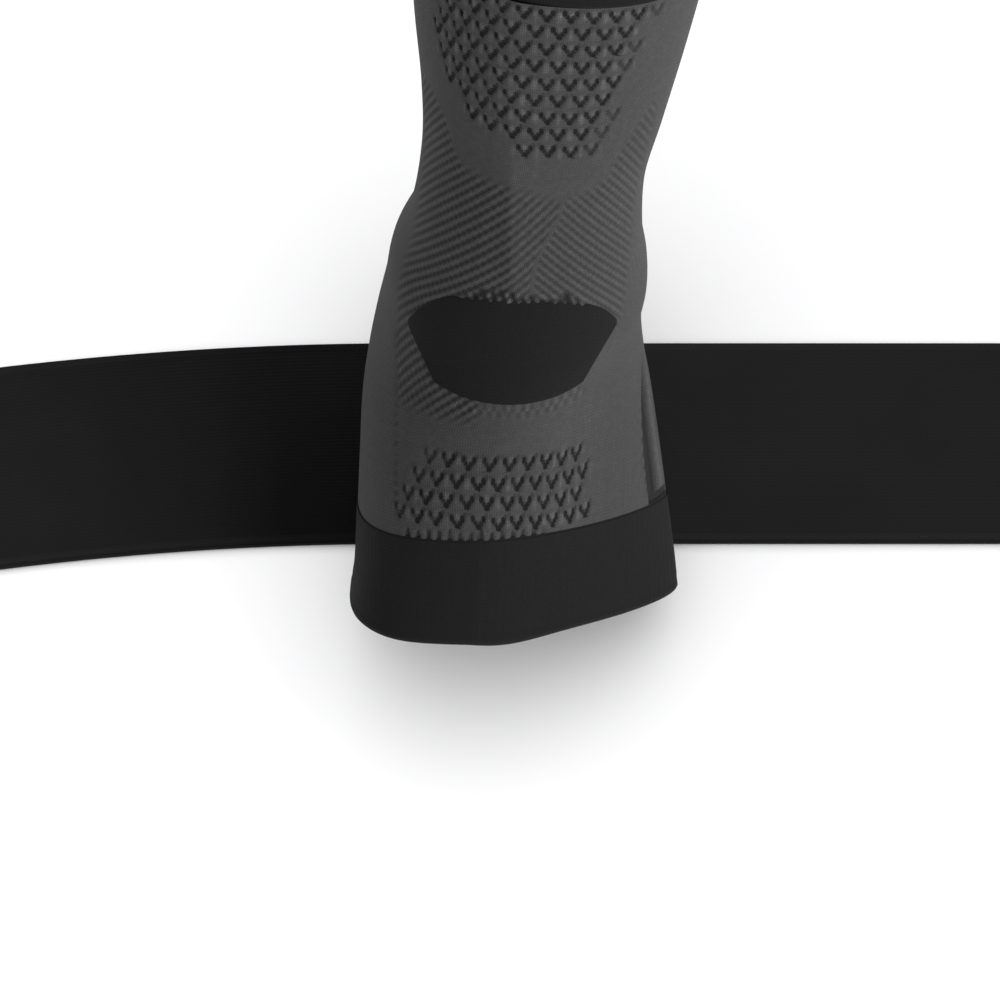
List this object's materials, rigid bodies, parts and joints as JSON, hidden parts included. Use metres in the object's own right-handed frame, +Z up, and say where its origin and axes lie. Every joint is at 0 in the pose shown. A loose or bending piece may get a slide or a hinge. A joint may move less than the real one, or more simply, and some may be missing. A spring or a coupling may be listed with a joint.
{
  "type": "ankle and foot compression sleeve",
  "caption": "Knitted ankle and foot sleeve, open at calf and midfoot, with ribbed grey knit, black cuffs and instep panel, and a wide elastic strap laid out under the arch.",
  "frame": {"origin": "middle of the ankle hollow, level with the ankle bones, 75 mm above the level on which the strap lies", "axes": "+Z up, -Y towards the open toe end, +X towards the outer side of the ankle, along the strap"},
  "size_m": [0.3792, 0.1921, 0.2254],
  "materials": {
    "grey_knit": "matt grey elastic knit with dark V dimples and chevron ribs",
    "black_knit": "matt black close elastic knit",
    "strap_elastic": "plain woven black elastic with thin selvedges",
    "hook_fabric": "black hook fastener tape"
  },
  "bodies": {
    "root": {"leg_cuff": "black_knit", "knit_body": "grey_knit", "instep_panel": "black_knit", "foot_cuff": "black_knit", "arch_strap": "strap_elastic", "hook_tab_left": "hook_fabric", "hook_tab_right": "hook_fabric"}
  },
  "joints": []
}
